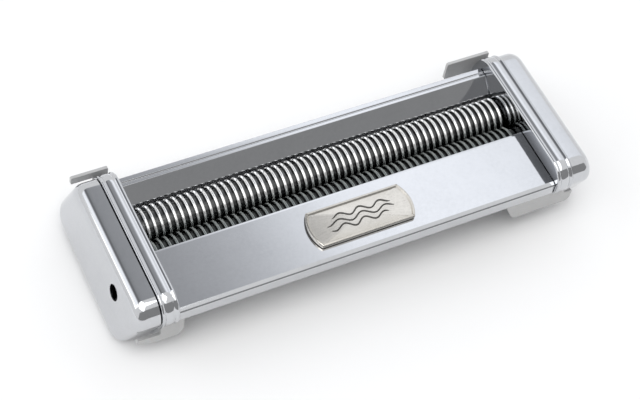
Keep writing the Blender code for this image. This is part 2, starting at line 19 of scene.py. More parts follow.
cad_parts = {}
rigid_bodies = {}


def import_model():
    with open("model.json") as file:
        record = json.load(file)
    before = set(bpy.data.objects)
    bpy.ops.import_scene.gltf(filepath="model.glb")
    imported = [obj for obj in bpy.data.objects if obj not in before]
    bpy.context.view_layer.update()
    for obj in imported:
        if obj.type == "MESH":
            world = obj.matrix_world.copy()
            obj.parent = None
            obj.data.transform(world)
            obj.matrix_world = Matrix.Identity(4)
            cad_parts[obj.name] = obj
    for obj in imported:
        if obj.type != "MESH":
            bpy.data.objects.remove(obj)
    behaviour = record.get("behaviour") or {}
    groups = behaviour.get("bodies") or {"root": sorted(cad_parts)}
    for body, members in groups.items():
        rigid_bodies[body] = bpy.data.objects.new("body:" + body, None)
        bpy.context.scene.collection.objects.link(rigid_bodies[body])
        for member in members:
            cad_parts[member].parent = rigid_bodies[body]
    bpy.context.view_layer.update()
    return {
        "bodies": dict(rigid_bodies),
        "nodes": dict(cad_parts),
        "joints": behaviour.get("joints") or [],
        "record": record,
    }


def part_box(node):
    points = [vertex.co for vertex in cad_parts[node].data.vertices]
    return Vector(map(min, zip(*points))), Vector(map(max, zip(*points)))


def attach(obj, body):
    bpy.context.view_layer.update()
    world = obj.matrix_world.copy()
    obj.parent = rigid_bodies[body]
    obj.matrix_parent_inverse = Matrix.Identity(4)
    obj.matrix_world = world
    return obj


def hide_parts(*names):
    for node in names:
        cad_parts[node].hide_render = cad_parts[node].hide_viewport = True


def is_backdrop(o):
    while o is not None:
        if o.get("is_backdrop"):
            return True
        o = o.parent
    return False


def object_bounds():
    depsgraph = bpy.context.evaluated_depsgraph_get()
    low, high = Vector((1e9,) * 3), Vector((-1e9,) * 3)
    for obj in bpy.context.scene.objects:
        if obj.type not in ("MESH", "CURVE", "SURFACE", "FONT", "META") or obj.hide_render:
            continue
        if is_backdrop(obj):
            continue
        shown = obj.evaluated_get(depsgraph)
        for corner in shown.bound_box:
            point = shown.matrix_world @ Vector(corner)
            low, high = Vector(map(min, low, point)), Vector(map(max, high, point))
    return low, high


LOG = logging.getLogger("cutting_head")
MM = 0.001
# how deep a point lies in a roller's groove, the mask of the painted groove shade
GROOVE_ATTRIBUTE = "groove_depth"

SHARP_ANGLE = math.radians(32.0)   # steeper edges are shaded sharp
MERGE_DISTANCE = 1e-7              # metres, for points that coincide
TINY = 1e-9
SEAT_GAP = 0.3                     # left between pieces that touch
CORNER_STEPS = 14                  # points on each corner of an outline
BEND_STEPS = 9                     # points on each bend of a sheet
HOLE_STEPS = 40                    # points round a drilled hole
Array = np.ndarray


class Side(Enum):
    """The two ends of the attachment, by the sign of X."""

    LEFT = -1.0
    RIGHT = 1.0


class Body(Enum):
    """The moving groups that pieces ride on."""

    FRAME = "frame"
    CRANK = "crank_drive"
    FRONT = "front_roller_set"
    REAR = "rear_roller_set"


class Look(Enum):
    """The finishes that a new piece can have."""

    CHROME = "chrome"
    TURNED = "turned"
    GEAR = "gear"
    NYLON = "nylon"
    ZINC = "zinc"
    SATIN = "satin"
    ENAMEL = "enamel"
    # the turned finish darkened as painted shade, for the front roller
    OILED = "oiled"
    PLAIN = "plain"


class Slot(Enum):
    """The material slots of the part."""

    CHROME = "chromed_steel"
    TURNED = "turned_steel"
    GEAR = "gear_steel"
    NYLON = "nylon"
    ZINC = "zinc_steel"
    SATIN = "satin_plate"


# ---------------- outlines

def rounded_path(corners: Sequence[tuple[float, float]], radius: float, steps: int,
                 closed: bool = True) -> tuple[Array, Array]:
    """Round the corners of a path that runs anticlockwise.

    Each corner becomes an arc: its centre lies on the corner's bisector at radius over the cosine of
    half the turn, and its points stand off the centre by the radius along the turning normal.

    Args:
        corners: the sharp corners.
        radius: the radius of every corner.
        steps: the points on each arc.
        closed: False keeps the first and the last corner sharp.

    Returns:
        The points and the unit normals on the right hand of the path, both (count, 2).
    """
    points = np.asarray(corners, float)
    before = points - np.roll(points, 1, axis=0)
    after = np.roll(before, -1, axis=0)
    before /= np.linalg.norm(before, axis=1, keepdims=True)
    after /= np.linalg.norm(after, axis=1, keepdims=True)
    cross = before[:, 0] * after[:, 1] - before[:, 1] * after[:, 0]
    turn = np.arctan2(cross, (before * after).sum(1))
    bisector = after - before
    bisector /= np.maximum(np.linalg.norm(bisector, axis=1, keepdims=True), TINY)
    centre = points + bisector * (radius / np.cos(turn / 2.0))[:, None]
    start = np.arctan2(-before[:, 0], before[:, 1])
    angle = start[:, None] + turn[:, None] * np.linspace(0.0, 1.0, steps)[None, :]
    normals = np.stack([np.cos(angle), np.sin(angle)], axis=2)
    arcs = centre[:, None, :] + normals * (np.sign(turn) * radius)[:, None, None]
    if closed:
        return arcs.reshape(-1, 2), normals.reshape(-1, 2)
    first = np.array([[after[0, 1], -after[0, 0]]])
    last = np.array([[before[-1, 1], -before[-1, 0]]])
    inner = arcs[1:-1].reshape(-1, 2)
    inner_normals = normals[1:-1].reshape(-1, 2)
    return (np.concatenate([points[:1], inner, points[-1:]]),
            np.concatenate([first, inner_normals, last]))


def sheet_section(corners: Sequence[tuple[float, float]], thickness: float, bend: float) -> Array:
    """Return the closed section of a bent sheet with half-round edges.

    The bent path is set off half a thickness to either side of its middle line, and a half circle joins
    the two at each end.

    Args:
        corners: the sharp corners of the outer face, with the sheet on the left hand.
        thickness: the sheet's thickness.
        bend: the radius of the bends on the outer face.

    Returns:
        The section's points, (count, 2).
    """
    path, normals = rounded_path(corners, bend, BEND_STEPS, closed=False)
    half = thickness / 2.0
    middle = path - normals * half
    swing = np.linspace(0.0, math.pi, BEND_STEPS)[1:-1]

    def end(centre: Array, normal: Array, forward: float) -> Array:
        """Return the half circle about an end of the middle line, from the normal's side on.

        Args:
            centre: the end of the middle line.
            normal: the unit normal there.
            forward: 1 for a half circle ahead of the normal's left hand, -1 for one behind it.

        Returns:
            The points between the half circle's two ends.
        """
        along = np.array([-normal[1], normal[0]]) * forward
        return centre + half * (np.cos(swing)[:, None] * normal + np.sin(swing)[:, None] * along)

    tail = end(middle[-1], normals[-1], 1.0)
    head = end(middle[0], -normals[0], 1.0)
    return np.concatenate([path, tail, (middle - normals * half)[::-1], head])


def circle(centre: Sequence[float], radius: float) -> Array:
    """Return points round a circle: the centre plus the radius times cosine and sine.

    Args:
        centre: its y and z.
        radius: its radius.

    Returns:
        The points in (y, z), (HOLE_STEPS, 2).
    """
    angle = np.linspace(0.0, math.tau, HOLE_STEPS, endpoint=False)
    return np.stack([centre[0] + radius * np.cos(angle), centre[1] + radius * np.sin(angle)], axis=1)


# ---------------- meshes

def grid_faces(rows: int, columns: int) -> list[tuple[int, ...]]:
    """Return the quads of a grid whose columns close on themselves.

    Args:
        rows: the grid's rows.
        columns: the points in each row.

    Returns:
        The corner indices of each quad.
    """
    row = np.arange(rows - 1)[:, None]
    column = np.arange(columns)[None, :]
    following = (column + 1) % columns
    quads = [row * columns + column, row * columns + following,
             (row + 1) * columns + following, (row + 1) * columns + column]
    return [tuple(quad) for quad in np.stack(np.broadcast_arrays(*quads), axis=2).reshape(-1, 4)]


def capped_faces(rows: int, columns: int) -> list[tuple[int, ...]]:
    """Return the quads of a closed-column grid and one face over each open end.

    Args:
        rows: the grid's rows.
        columns: the points in each row.

    Returns:
        The corner indices of each face.
    """
    last = (rows - 1) * columns
    return grid_faces(rows, columns) + [tuple(range(columns)), tuple(range(last, last + columns))]


def make_piece(name: str, points: Array, faces: Sequence[Sequence[int]]) -> Any:
    """Put a surface into a new object at the origin, with its faces turned outwards.

    Args:
        name: the piece's name.
        points: its points in millimetres, (count, 3).
        faces: the corner indices of its faces.

    Returns:
        The object.
    """
    mesh = bpy.data.meshes.new(name)
    mesh.from_pydata((np.asarray(points, float) * MM).tolist(), [],
                     [list(map(int, face)) for face in faces])
    work = bmesh.new()
    work.from_mesh(mesh)
    bmesh.ops.remove_doubles(work, verts=work.verts, dist=MERGE_DISTANCE)
    bmesh.ops.recalc_face_normals(work, faces=work.faces)
    work.to_mesh(mesh)
    work.free()
    mesh.shade_smooth()
    mesh.set_sharp_from_angle(angle=SHARP_ANGLE)
    piece = bpy.data.objects.new(name, mesh)
    bpy.context.scene.collection.objects.link(piece)
    return piece


def tray(name: str, rows: Array, holes: Sequence[tuple[Array, Array]] = ()) -> Any:
    """Make a closed shell from loops, filling the first and the last around any holes.

    Args:
        name: the piece's name.
        rows: the loops, (rows, columns, 3).
        holes: pairs of loops, one in the first face and one in the last.

    Returns:
        The object.
    """
    count, columns, _ = rows.shape
    points = [rows.reshape(-1, 3)]
    faces = grid_faces(count, columns)
    ends = [[np.arange(columns)], [np.arange(columns) + (count - 1) * columns]]
    offset = count * columns
    for near, far in holes:
        size = len(near)
        points += [near, far]
        ends[0].append(np.arange(size) + offset)
        ends[1].append(np.arange(size) + offset + size)
        faces += [tuple(corner + offset for corner in face) for face in grid_faces(2, size)]
        offset += 2 * size
    every = np.concatenate(points)
    for loops in ends:
        flat = np.concatenate(loops)
        lines = [[Vector((0.0, *every[i][1:])) for i in loop] for loop in loops]
        faces += [tuple(flat[list(corner)]) for corner in tessellate_polygon(lines)]
    return make_piece(name, every, faces)


def prism(name: str, section: Array, start: float, end: float, along_y: bool = False) -> Any:
    """Carry a section straight along X, or along Y, and close both ends.

    Every point of the section is repeated at the start and at the end.

    Args:
        name: the piece's name.
        section: the section's points, (count, 2), in (y, z), or in (x, z) where it runs along Y.
        start: where it starts.
        end: where it ends.
        along_y: whether it runs along Y.

    Returns:
        The object.
    """
    count = len(section)
    level = np.repeat([start, end], count)
    first, second = np.tile(section, (2, 1)).T
    points = np.stack([first, level, second] if along_y else [level, first, second], axis=1)
    return make_piece(name, points, capped_faces(2, count))


def turned(name: str, profile: Array, axis: Sequence[float], segments: int) -> Any:
    """Turn an (x, radius) profile about an axis along X, with flat closed ends.

    Each profile point becomes a circle of its radius round the axis.

    Args:
        name: the piece's name.
        profile: (count, 2) of x and radius.
        axis: the axis's y and z.
        segments: the points round each circle.

    Returns:
        The object.
    """
    angle = np.linspace(0.0, math.tau, segments, endpoint=False)[None, :]
    x = np.broadcast_to(profile[:, :1], (len(profile), segments))
    y = axis[0] + profile[:, 1:] * np.cos(angle)
    z = axis[1] + profile[:, 1:] * np.sin(angle)
    points = np.stack([x, y, z], axis=2).reshape(-1, 3)
    return make_piece(name, points, capped_faces(len(profile), segments))


def tube(name: str, path: Array, radius: float) -> Any:
    """Carry a circle along a path in a nearly level plane, tapered at both ends and closed.

    The circle lies across the path, and its radius follows the root of a clipped half sine wave.

    Args:
        name: the piece's name.
        path: the points that it follows, (count, 3).
        radius: the circle's full radius.

    Returns:
        The object.
    """
    sides, tip, steepness, least = 8, 0.02, 4.0, 0.05
    along = np.gradient(path, axis=0)
    along /= np.linalg.norm(along, axis=1, keepdims=True)
    up = np.array([0.0, 0.0, 1.0])
    across = np.cross(along, up)
    across /= np.linalg.norm(across, axis=1, keepdims=True)
    angle = np.linspace(0.0, math.tau, sides, endpoint=False)
    ring = np.cos(angle)[None, :, None] * across[:, None, :] + np.sin(angle)[None, :, None] * up
    wave = np.sin(np.linspace(tip, math.pi - tip, len(path)))
    taper = np.sqrt(np.clip(wave * steepness, least, 1.0))
    points = path[:, None, :] + radius * taper[:, None, None] * ring
    return make_piece(name, points.reshape(-1, 3), capped_faces(len(path), sides))


# ---------------- effects shared by the finishes

class Effects:
    """Shader node groups that several finishes use, each built once."""

    grain_detail = 3.0            # octaves of the fine lines
    fine_marks = 7.0              # how much finer the second noise of the marks is
    mark_span = (0.12, 0.42)      # the product of the two noises that the marks stretch

    def __init__(self) -> None:
        """Build every group."""
        self.grain = self._grain()
        self.smudge = self._smudge()
        self.groove = self._groove()

    @staticmethod
    def _new(name: str, inputs: dict[str, float], output: str) -> Any:
        """Make a group with an input node named in and an output node named out.

        Args:
            name: the group's name.
            inputs: its float inputs and their defaults.
            output: its one float output.

        Returns:
            The node group.
        """
        group = bpy.data.node_groups.new(name, "ShaderNodeTree")
        for label, value in inputs.items():
            socket = group.interface.new_socket(label, in_out="INPUT", socket_type="NodeSocketFloat")
            socket.default_value = value
        group.interface.new_socket(output, in_out="OUTPUT", socket_type="NodeSocketFloat")
        group.nodes.new("NodeGroupInput").name = "in"
        group.nodes.new("NodeGroupOutput").name = "out"
        return group

    def _grain(self) -> Any:
        """Build the fine lines: noise on object coordinates stretched by a factor for each axis.

        Returns:
            The node group.
        """
        scales = {"Along": 60.0, "Across": 6000.0, "Upright": 6000.0}
        group = self._new("fine_lines", scales, "Height")
        nodes, links = group.nodes, group.links
        place = nodes.new("ShaderNodeTexCoord")
        scale = nodes.new("ShaderNodeCombineXYZ")
        product = nodes.new("ShaderNodeVectorMath")
        product.operation = "MULTIPLY"
        noise = nodes.new("ShaderNodeTexNoise")
        noise.inputs["Scale"].default_value = 1.0
        noise.inputs["Detail"].default_value = self.grain_detail
        for index, label in enumerate(scales):
            links.new(nodes["in"].outputs[label], scale.inputs[index])
        links.new(place.outputs["Object"], product.inputs[0])
        links.new(scale.outputs[0], product.inputs[1])
        links.new(product.outputs[0], noise.inputs["Vector"])
        links.new(noise.outputs["Fac"], nodes["out"].inputs["Height"])
        return group

    def _smudge(self) -> Any:
        """Build the handling marks: two sizes of soft noise multiplied and stretched to a mask.

        Returns:
            The node group.
        """
        group = self._new("handling_marks", {"Size": 45.0, "Low": 0.1, "High": 0.3}, "Value")
        nodes, links = group.nodes, group.links
        place = nodes.new("ShaderNodeTexCoord")
        broad = nodes.new("ShaderNodeTexNoise")
        fine = nodes.new("ShaderNodeTexNoise")
        larger = nodes.new("ShaderNodeMath")
        larger.operation = "MULTIPLY"
        larger.inputs[1].default_value = self.fine_marks
        both = nodes.new("ShaderNodeMath")
        both.operation = "MULTIPLY"
        span = nodes.new("ShaderNodeMapRange")
        span.inputs["From Min"].default_value, span.inputs["From Max"].default_value = self.mark_span
        links.new(nodes["in"].outputs["Size"], broad.inputs["Scale"])
        links.new(nodes["in"].outputs["Size"], larger.inputs[0])
        links.new(larger.outputs[0], fine.inputs["Scale"])
        for noise in (broad, fine):
            links.new(place.outputs["Object"], noise.inputs["Vector"])
        links.new(broad.outputs["Fac"], both.inputs[0])
        links.new(fine.outputs["Fac"], both.inputs[1])
        links.new(both.outputs[0], span.inputs["Value"])
        links.new(nodes["in"].outputs["Low"], span.inputs["To Min"])
        links.new(nodes["in"].outputs["High"], span.inputs["To Max"])
        links.new(span.outputs["Result"], nodes["out"].inputs["Value"])
        return group

    def _groove(self) -> Any:
        """Build the painted groove shade: how deep a point lies in a groove, times an amount.

        Returns:
            The node group.
        """
        group = self._new("painted_groove_shade", {"Amount": 0.0}, "Value")
        nodes, links = group.nodes, group.links
        deep = nodes.new("ShaderNodeAttribute")
        deep.attribute_name = GROOVE_ATTRIBUTE
        depth = nodes.new("ShaderNodeMath")
        depth.operation = "MULTIPLY"
        links.new(deep.outputs["Fac"], depth.inputs[0])
        links.new(nodes["in"].outputs["Amount"], depth.inputs[1])
        links.new(depth.outputs[0], nodes["out"].inputs["Value"])
        return group


@dataclass(frozen=True)
class Finish:
    """A metal or plastic finish: two close colours, a span of roughness, a fine relief and painted shade in
    the grooves of turned rollers.
    """

    look: Look
    slot: Slot
    colour: tuple[float, float, float]
    shade: tuple[float, float, float]
    roughness: tuple[float, float]
    metallic: float = 1.0
    marks: float = 45.0
    lines: tuple[float, float, float] = (60.0, 3000.0, 3000.0)
    relief: float = 0.02
    # how strongly painted shade darkens the grooves of a turned roller
    groove: float = 0.0
    tint_ratio: float = 2.3           # the colour changes at this many times the marks' scale
    relief_height: float = 0.0002     # metres
    # the dark colour of the painted shade in the grooves
    groove_shade_colour: tuple[float, float, float] = (0.03, 0.032, 0.033)

    def material(self, effects: Effects) -> Any:
        """Build the material once, and return it after that.

        Args:
            effects: the shared node groups.

        Returns:
            The material.
        """
        name = "finish_" + self.look.value
        found = bpy.data.materials.get(name)
        if found:
            return found
        made = bpy.data.materials.new(name)
        made.use_nodes = True
        nodes, links = made.node_tree.nodes, made.node_tree.links
        shader = nodes["Principled BSDF"]
        shader.inputs["Metallic"].default_value = self.metallic
        low, high = self.roughness
        smudge = self.add_group(nodes, effects.smudge, Size=self.marks, Low=low, High=high)
        tint = self.add_group(nodes, effects.smudge, Size=self.marks * self.tint_ratio, Low=0.0, High=1.0)
        grain = self.add_group(nodes, effects.grain,
                               **dict(zip(("Along", "Across", "Upright"), self.lines)))
        groove = self.add_group(nodes, effects.groove, Amount=self.groove)
        mix = self.add_mix(nodes, self.shade)
        mix.inputs["A"].default_value = (*self.colour, 1.0)
        # mix in the painted groove shade, deeper towards the bottom of each groove
        groove_shade_mix = self.add_mix(nodes, self.groove_shade_colour)
        bump = nodes.new("ShaderNodeBump")
        bump.inputs["Strength"].default_value = self.relief
        bump.inputs["Distance"].default_value = self.relief_height
        links.new(tint.outputs["Value"], mix.inputs["Factor"])
        links.new(groove.outputs["Value"], groove_shade_mix.inputs["Factor"])
        links.new(mix.outputs["Result"], groove_shade_mix.inputs["A"])
        links.new(groove_shade_mix.outputs["Result"], shader.inputs["Base Color"])
        links.new(smudge.outputs["Value"], shader.inputs["Roughness"])
        links.new(grain.outputs["Height"], bump.inputs["Height"])
        links.new(bump.outputs["Normal"], shader.inputs["Normal"])
        return made

    @staticmethod
    def add_group(nodes: Any, tree: Any, **values: float) -> Any:
        """Add one use of a shared group.

        Args:
            nodes: the material's nodes.
            tree: the shared group.
            values: what its inputs are set to.

        Returns:
            The group node.
        """
        node = nodes.new("ShaderNodeGroup")
        node.node_tree = tree
        for label, value in values.items():
            node.inputs[label].default_value = value
        return node

    @staticmethod
    def add_mix(nodes: Any, second: tuple[float, float, float]) -> Any:
        """Add a colour mix.

        Args:
            nodes: the material's nodes.
            second: the colour that a factor of 1 gives.

        Returns:
            The mix node.
        """
        mix = nodes.new("ShaderNodeMix")
        mix.data_type = "RGBA"
        mix.inputs["B"].default_value = (*second, 1.0)
        return mix


FINISHES = (
    Finish(Look.CHROME, Slot.CHROME, (0.60, 0.61, 0.63), (0.57, 0.58, 0.60), (0.06, 0.10), relief=0.01),
    Finish(Look.TURNED, Slot.TURNED, (0.94, 0.94, 0.93), (0.88, 0.88, 0.87), (0.16, 0.22),
           lines=(2400.0, 200.0, 200.0), relief=0.01, groove=0.92),
    # the turned finish darkened as painted shade, for the front roller that lies in shade
    Finish(Look.OILED, Slot.TURNED, (0.30, 0.32, 0.31), (0.22, 0.24, 0.24), (0.20, 0.28),
           lines=(2400.0, 200.0, 200.0), relief=0.01, groove=0.92),
    Finish(Look.PLAIN, Slot.CHROME, (0.50, 0.50, 0.50), (0.46, 0.46, 0.46), (0.38, 0.46),
           metallic=0.25, marks=90.0),
    Finish(Look.GEAR, Slot.GEAR, (0.42, 0.42, 0.42), (0.26, 0.26, 0.25), (0.30, 0.46),
           marks=160.0, relief=0.10),
    Finish(Look.NYLON, Slot.NYLON, (0.84, 0.83, 0.77), (0.76, 0.74, 0.66), (0.42, 0.56),
           metallic=0.0, marks=220.0, relief=0.05),
    Finish(Look.ZINC, Slot.ZINC, (0.62, 0.63, 0.65), (0.48, 0.50, 0.53), (0.24, 0.38),
           marks=260.0, relief=0.06),
    Finish(Look.SATIN, Slot.SATIN, (0.66, 0.635, 0.59), (0.60, 0.575, 0.53), (0.22, 0.29),
           lines=(90.0, 2500.0, 2500.0), relief=0.03),
    Finish(Look.ENAMEL, Slot.SATIN, (0.035, 0.033, 0.03), (0.06, 0.055, 0.05), (0.30, 0.42),
           metallic=0.0, marks=300.0),
)


class Finishes:
    """Every finish of the attachment, by its look."""

    def __init__(self) -> None:
        """Build the shared groups and list the finishes."""
        self.effects = Effects()
        self.table = {finish.look: finish for finish in FINISHES}

    def dress(self, piece: Any, look: Look, body: Body) -> None:
        """Give a new piece its finish and the body that it rides on.

        Args:
            piece: the new object.
            look: its finish.
            body: the body that carries it.
        """
        finish = self.table[look]
        piece.data.materials.clear()
        piece.data.materials.append(finish.material(self.effects))
        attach(piece, body.value)
        LOG.info("%s: %s on %s", piece.name, look.value, body.value)

    def dress_node(self, name: str, node: Any, look: Look) -> None:
        """Give a node of the frame its finish.

        Args:
            name: the node's name.
            node: its object.
            look: the finish.
        """
        for place in node.material_slots:
            place.material = self.table[look].material(self.effects)
        LOG.info("%s keeps its shape: %s", name, look.value)


# ---------------- sub-assemblies

@dataclass(frozen=True)
class Layout:
    """Where things are, read from the frame, in millimetres."""

    height: float
    web_inner: float
    front_axis: tuple[float, float]
    rear_axis: tuple[float, float]
    crank_axis: tuple[float, float]

    @classmethod
    def read(cls, frame: dict[str, Any]) -> "Layout":
        """Read the layout from the loaded frame.


        Returns:
            The layout.
        """
        axes = {j["name"]: (j["pos_m"][1] / MM, j["pos_m"][2] / MM) for j in frame["joints"]}
        return cls(height=float(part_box("right_side_frame")[1][2]) / MM,
                   web_inner=float(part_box("front_panel")[1][0]) / MM + SEAT_GAP,
                   front_axis=axes["front_roller_spin"], rear_axis=axes["rear_roller_spin"],
                   crank_axis=axes["crank_spin"])


# The guide plates' outlines as (outwards from the web's inner face, height). Those of the right side
# run anticlockwise seen from the front, and those of the left side do so once they are turned over.
GUIDES = {
    Side.RIGHT: {
        "front": ((-20.5, 18.4), (-16.5, 10.5), (-14.5, 9.0), (8.8, 9.0),
                  (10.3, 10.5), (10.3, 15.4), (6.3, 15.6), (6.3, 18.4)),
        "rear": ((-13.0, 18.0), (6.3, 18.0), (6.3, 27.0), (-13.0, 27.0))},
    Side.LEFT: {
        "front": ((-2.7, 18.4), (6.3, 18.4), (6.3, 12.6), (15.4, 13.1),
                  (15.4, 11.3), (6.8, 8.3), (-1.2, 8.3), (-2.7, 11.3)),
        "rear": ((0.5, 18.0), (0.5, 27.0), (15.2, 27.0), (15.2, 23.6), (6.3, 23.6), (6.3, 18.0))},
}


@dataclass
class SideFrame:
    """A pressed side frame: a flat web with bush holes and a beaded rim round it, and two guides."""

    side: Side
    layout: Layout
    top_y: tuple[float, float] = (-40.3, 27.7)
    foot_y: tuple[float, float] = (-26.5, 39.7)
    radius: float = 8.6
    rim_width: float = 6.8
    wall: float = 1.2
    bush_hole: float = 5.2
    crank_bush_hole: float = 5.0
    bead_radius: float = 0.85
    bead_turn: float = 1.7                          # radians
    bead_steps: int = 8
    inner_groove: tuple[tuple[float, float], ...] = ((0.30, 1.55), (0.42, 1.75), (0.34, 1.95))
    outer_groove: tuple[tuple[float, float], ...] = ((0.32, 5.2), (0.42, 5.4), (0.30, 5.6))
    band_depth: float = 0.16
    band_crown: float = 0.14
    band_start: float = 2.2
    band_width: float = 2.9
    band_sweep: tuple[float, float] = (0.15, 2.7)   # part of the sine wave's half turn
    band_steps: int = 9
    ridge_depth: float = 0.45
    ridge_centre: float = 0.55
    ridge_reach: float = 0.5
    ridge_sweep: tuple[float, float] = (-0.9, 1.4)
    ridge_steps: int = 7
    edge_chamfer: float = 0.1
    inside_fillet: float = 0.5
    guide_y: tuple[float, float] = (-33.8, 31.5)
    guide_thickness: float = 1.2
    guide_corner: float = 0.55
    guide_steps: int = 5

    def corners(self) -> list[tuple[float, float]]:
        """Work out the outline's sharp corners.

        Returns:
            The corners in (y, z), anticlockwise seen from the right.
        """
        top = self.layout.height
        return [(self.foot_y[0], 0.0), (self.foot_y[1], 0.0), (self.top_y[1], top), (self.top_y[0], top)]

    def section(self) -> list[tuple[float, float]]:
        """Work out the rim's section.

        It runs from the web's inner face over a bead that is an arc, a shallow groove, the broad band
        crowned as part of a sine wave, a second groove and a ridge at the open edge, and back inside to
        the web's outer face.

        Returns:
            Points of (depth inwards from the outline, distance out from the web's inner face).
        """
        wall, width, radius = self.wall, self.rim_width, self.bead_radius
        bead = [(radius - radius * math.sin(a), radius - radius * math.cos(a))
                for a in np.linspace(0.0, self.bead_turn, self.bead_steps)]
        band = [(self.band_depth - self.band_crown * math.sin(a),
                 self.band_start + self.band_width * a / math.pi)
                for a in np.linspace(*self.band_sweep, self.band_steps)]
        ridge = [(self.ridge_depth - self.ridge_depth * math.cos(a),
                  width - self.ridge_centre + self.ridge_reach * math.sin(a))
                 for a in np.linspace(*self.ridge_sweep, self.ridge_steps)]
        back = [(wall - self.edge_chamfer, width), (wall, width - self.edge_chamfer),
                (wall, wall + self.inside_fillet), (wall + self.inside_fillet, wall)]
        return bead + list(self.inner_groove) + band + list(self.outer_groove) + ridge + back

    def shell(self) -> Any:
        """Carry the rim's section round the outline, and close the web round its bush holes.

        Returns:
            The shell.
        """
        sign, inner = self.side.value, self.layout.web_inner
        path, normals = rounded_path(self.corners(), self.radius, CORNER_STEPS)
        rows = np.stack([np.column_stack([np.full(len(path), sign * (inner + out)), path - deep * normals])
                         for deep, out in self.section()])
        axes = [(self.layout.front_axis, self.bush_hole), (self.layout.rear_axis, self.bush_hole)]
        if self.side is Side.LEFT:
            axes.append((self.layout.crank_axis, self.crank_bush_hole))
        holes = []
        for axis, radius in axes:
            loop = circle(axis, radius)
            holes.append(tuple(np.column_stack([np.full(len(loop), sign * x), loop])
                               for x in (inner, inner + self.wall)))
        return tray(self.side.name.lower() + "_frame_shell", rows, holes)

    def guides(self) -> list[Any]:
        """Make the front and rear guide plates: each outline carried along Y by the plate's thickness.

        Returns:
            The two plates.
        """
        made = []
        for (label, outline), start in zip(GUIDES[self.side].items(), self.guide_y):
            placed = [(self.side.value * (self.layout.web_inner + out), z) for out, z in outline]
            path, _ = rounded_path(placed, self.guide_corner, self.guide_steps)
            name = f"{self.side.name.lower()}_{label}_guide"
            made.append(prism(name, path, start, start + self.guide_thickness, along_y=True))
        return made

    def build(self, finishes: Finishes) -> None:
        """Make the shell and the guides of this side, and dress them.

        Args:
            finishes: the finishes.
        """
        shell = self.shell()
        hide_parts(self.side.name.lower() + "_side_frame")
        finishes.dress(shell, Look.CHROME, Body.FRAME)
        for guide in self.guides():
            finishes.dress(guide, Look.PLAIN, Body.FRAME)


@dataclass
class EndCap:
    """A hollow end cap: the side frame's outline stepped in, a leaning end face and rounded edges."""

    side: Side
    layout: Layout
    frame: SideFrame
    step: float = 0.9
    depth: float = 8.9
    wall: float = 1.0
    edge: float = 4.4
    lip: float = 0.15
    lean: float = 0.173
    floor_rise: tuple[float, float] = (1.0, 3.6)
    hole: float = 3.2
    inner_steps: int = 6
    outer_steps: int = 10

    def corners(self) -> list[tuple[float, float]]:
        """Step the side frame's corners in along their bisectors, and raise the floor.

        Returns:
            The cap's sharp corners in (y, z).
        """
        points = np.array(self.frame.corners())
        ahead = np.roll(points, -1, axis=0) - points
        ahead /= np.linalg.norm(ahead, axis=1, keepdims=True)
        inward = np.stack([-ahead[:, 1], ahead[:, 0]], axis=1)
        behind = np.roll(inward, 1, axis=0)
        share = self.step / (1.0 + (inward * behind).sum(1))
        stepped = points + (inward + behind) * share[:, None]
        front_slope = (stepped[3] - stepped[0]) / (stepped[3] - stepped[0])[1]
        rear_slope = (stepped[2] - stepped[1]) / (stepped[2] - stepped[1])[1]
        stepped[0] += front_slope * (self.floor_rise[0] - self.step)
        stepped[1] += rear_slope * (self.floor_rise[1] - self.step)
        return [tuple(p) for p in stepped]

    def open_x(self) -> float:
        """Return how far out the cap's open rim stands."""
        return self.layout.web_inner + self.frame.rim_width + SEAT_GAP

    def face_x(self, z: Array) -> Array:
        """Work out how far out the leaning end face stands: further by the lean for each step down.

        Args:
            z: the heights.

        Returns:
            The distance from the middle at each height.
        """
        top = self.layout.height - self.step
        return self.open_x() + self.depth + self.lean * (top - z)

    def loop(self, inset: float, back: float | None) -> Array:
        """Set the outline in by a distance, at the end face or at the open rim.

        Args:
            inset: how far inside the cap's outline.
            back: how far behind the end face, or None for the open rim.

        Returns:
            The loop's points, (count, 3).
        """
        path, normals = rounded_path(self.corners(), self.frame.radius - self.step, CORNER_STEPS)
        flat = path - inset * normals
        x = np.full(len(flat), self.open_x()) if back is None else self.face_x(flat[:, 1]) - back
        return np.column_stack([self.side.value * x, flat])

    def build(self, finishes: Finishes) -> None:
        """Make the cap as a shell from its inner face over the open rim to its outer face, and dress it.

        Both faces meet their sides in a quarter circle.

        Args:
            finishes: the finishes.
        """
        edge, wall, quarter = self.edge, self.wall, math.pi / 2.0
        inner = [self.loop(edge - (edge - wall) * math.sin(a), wall + (edge - wall) * (1.0 - math.cos(a)))
                 for a in np.linspace(0.0, quarter, self.inner_steps)]
        rim = [self.loop(wall, None), self.loop(self.lip, None)]
        lip = self.loop(0.0, None)
        lip[:, 0] += self.side.value * self.lip
        outer = [self.loop(edge * (1.0 - math.sin(a)), edge * (1.0 - math.cos(a)))
                 for a in np.linspace(quarter, 0.0, self.outer_steps)]
        holes = []
        if self.side is Side.LEFT:
            round_hole = circle(self.layout.crank_axis, self.hole)
            face = self.face_x(round_hole[:, 1])
            holes = [tuple(np.column_stack([self.side.value * (face - back), round_hole])
                           for back in (wall, 0.0))]
        cap = tray(self.side.name.lower() + "_cap_shell", np.stack(inner + rim + [lip] + outer), holes)
        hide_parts(self.side.name.lower() + "_end_cap")
        finishes.dress(cap, Look.CHROME, Body.FRAME)


